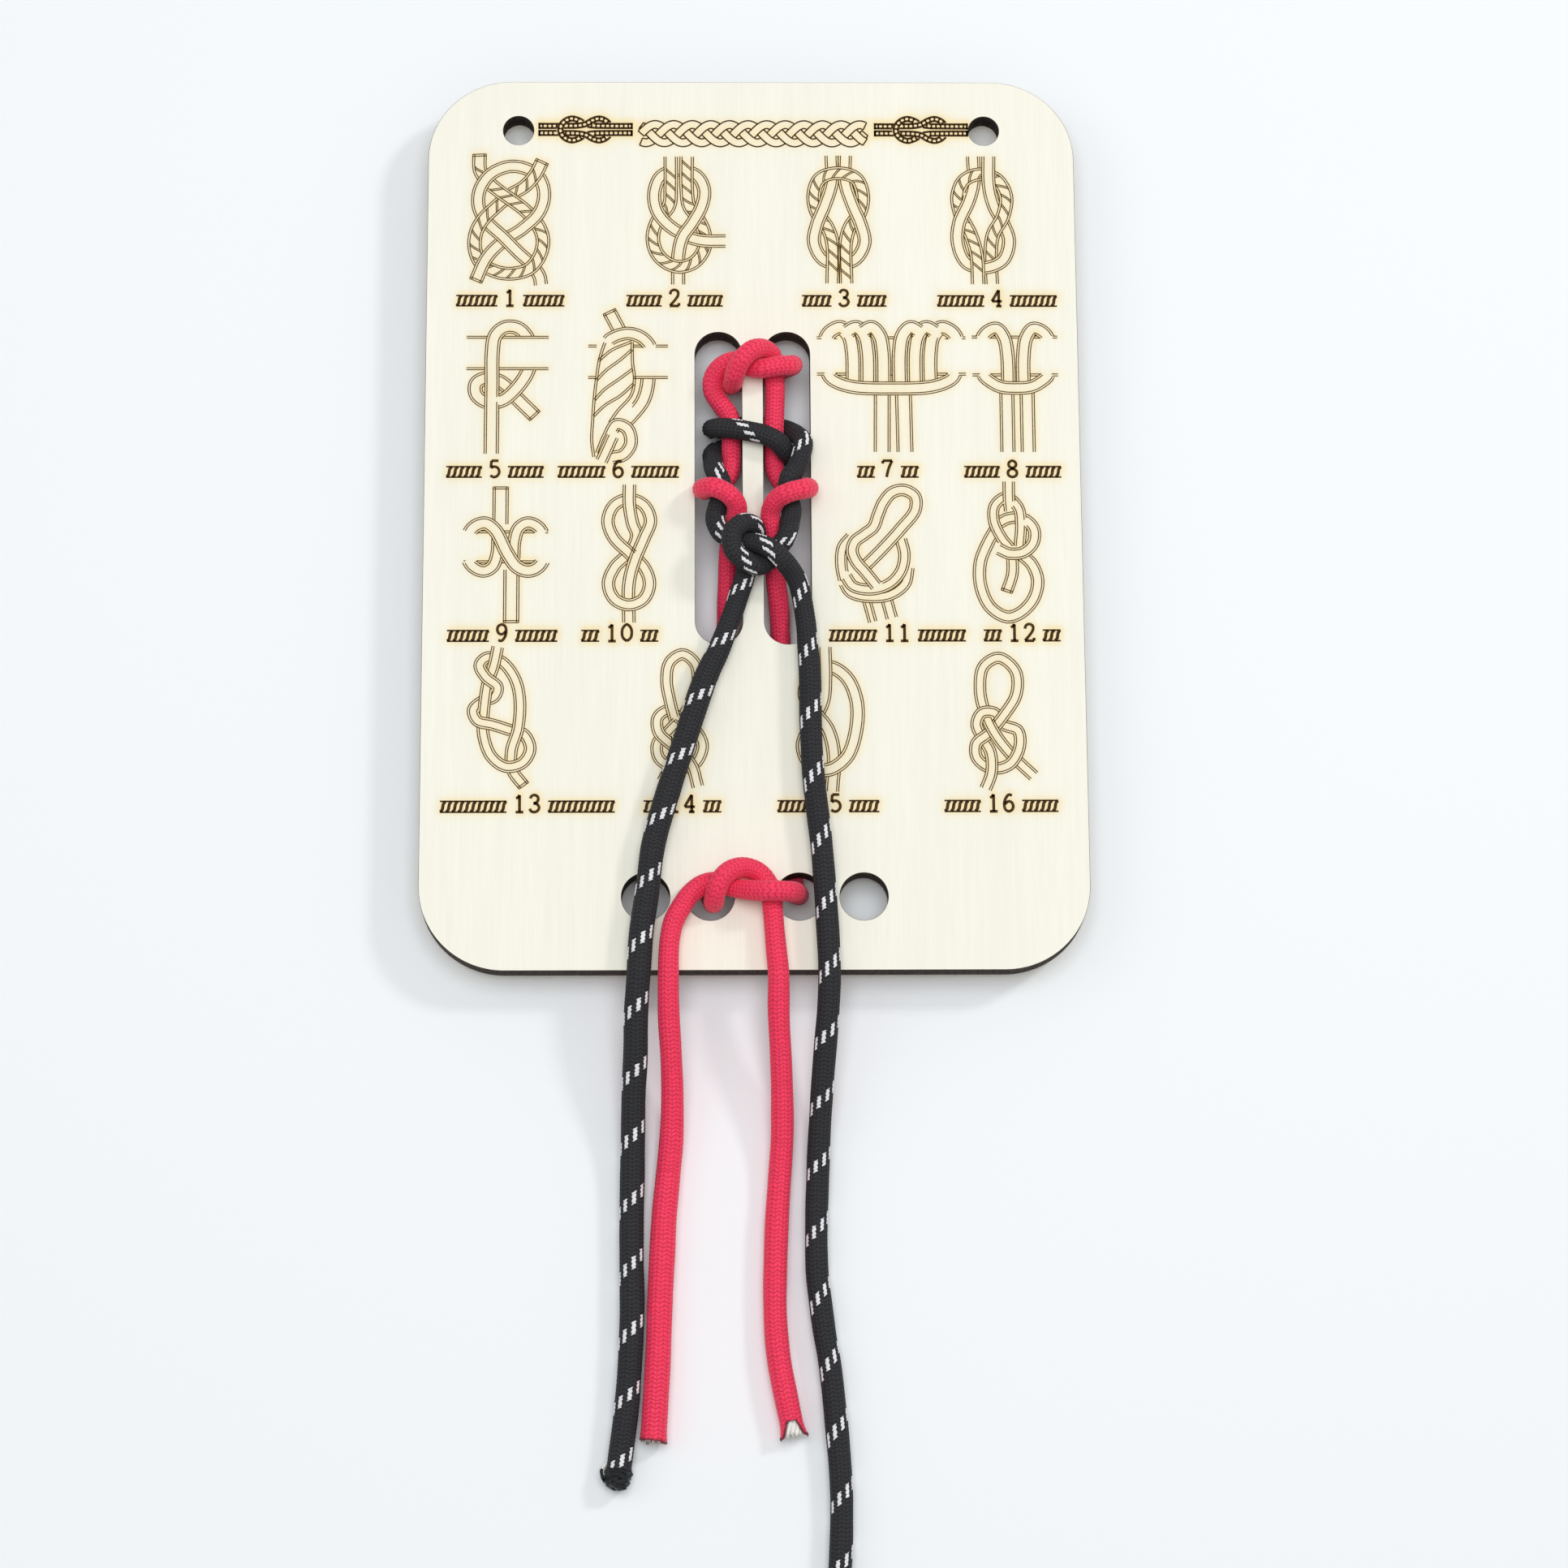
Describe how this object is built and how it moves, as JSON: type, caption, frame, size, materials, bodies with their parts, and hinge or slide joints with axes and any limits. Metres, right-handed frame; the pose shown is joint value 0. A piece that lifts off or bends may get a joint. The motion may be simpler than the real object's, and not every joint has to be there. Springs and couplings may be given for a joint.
{
  "type": "knot tying board",
  "caption": "Pocket-card plywood board with two slots, cord holes and hanging holes, and two braided cords knotted to it, a red one and a black one.",
  "frame": {"origin": "on the surface that the cords lie on, under the middle of the board", "axes": "+X across the board to its right, +Y up the board to the edge with the hanging holes, +Z out of its engraved face"},
  "size_m": [0.105, 0.2845, 0.0149],
  "materials": {
    "birch_face": "bare sanded birch veneer with engraved lines",
    "birch_core": "bare birch core, edges browned by the laser",
    "red_braid": "braided polyester sheath",
    "white_core": "loose white core strands",
    "black_braid": "braided polyester sheath with white tracer dashes",
    "melted_tip": "melted and hardened sheath"
  },
  "bodies": {
    "root": {"front_veneer": "birch_face", "core_ply": "birch_core", "back_veneer": "birch_face", "red_tail_left": "red_braid", "red_hole_knot_over": "red_braid", "red_back_right": "red_braid", "red_right_turn": "red_braid", "red_bar_knot": "red_braid", "red_left_turn": "red_braid", "red_back_left": "red_braid", "red_hole_knot_under": "red_braid", "red_tail_right": "red_braid", "red_core_left": "white_core", "red_core_right": "white_core", "black_tail_left": "black_braid", "black_knot_loop": "black_braid", "black_wrap": "black_braid", "black_knot_cross": "black_braid", "black_tail_right": "black_braid", "black_tip_left": "melted_tip", "black_tip_right": "melted_tip"}
  },
  "joints": []
}
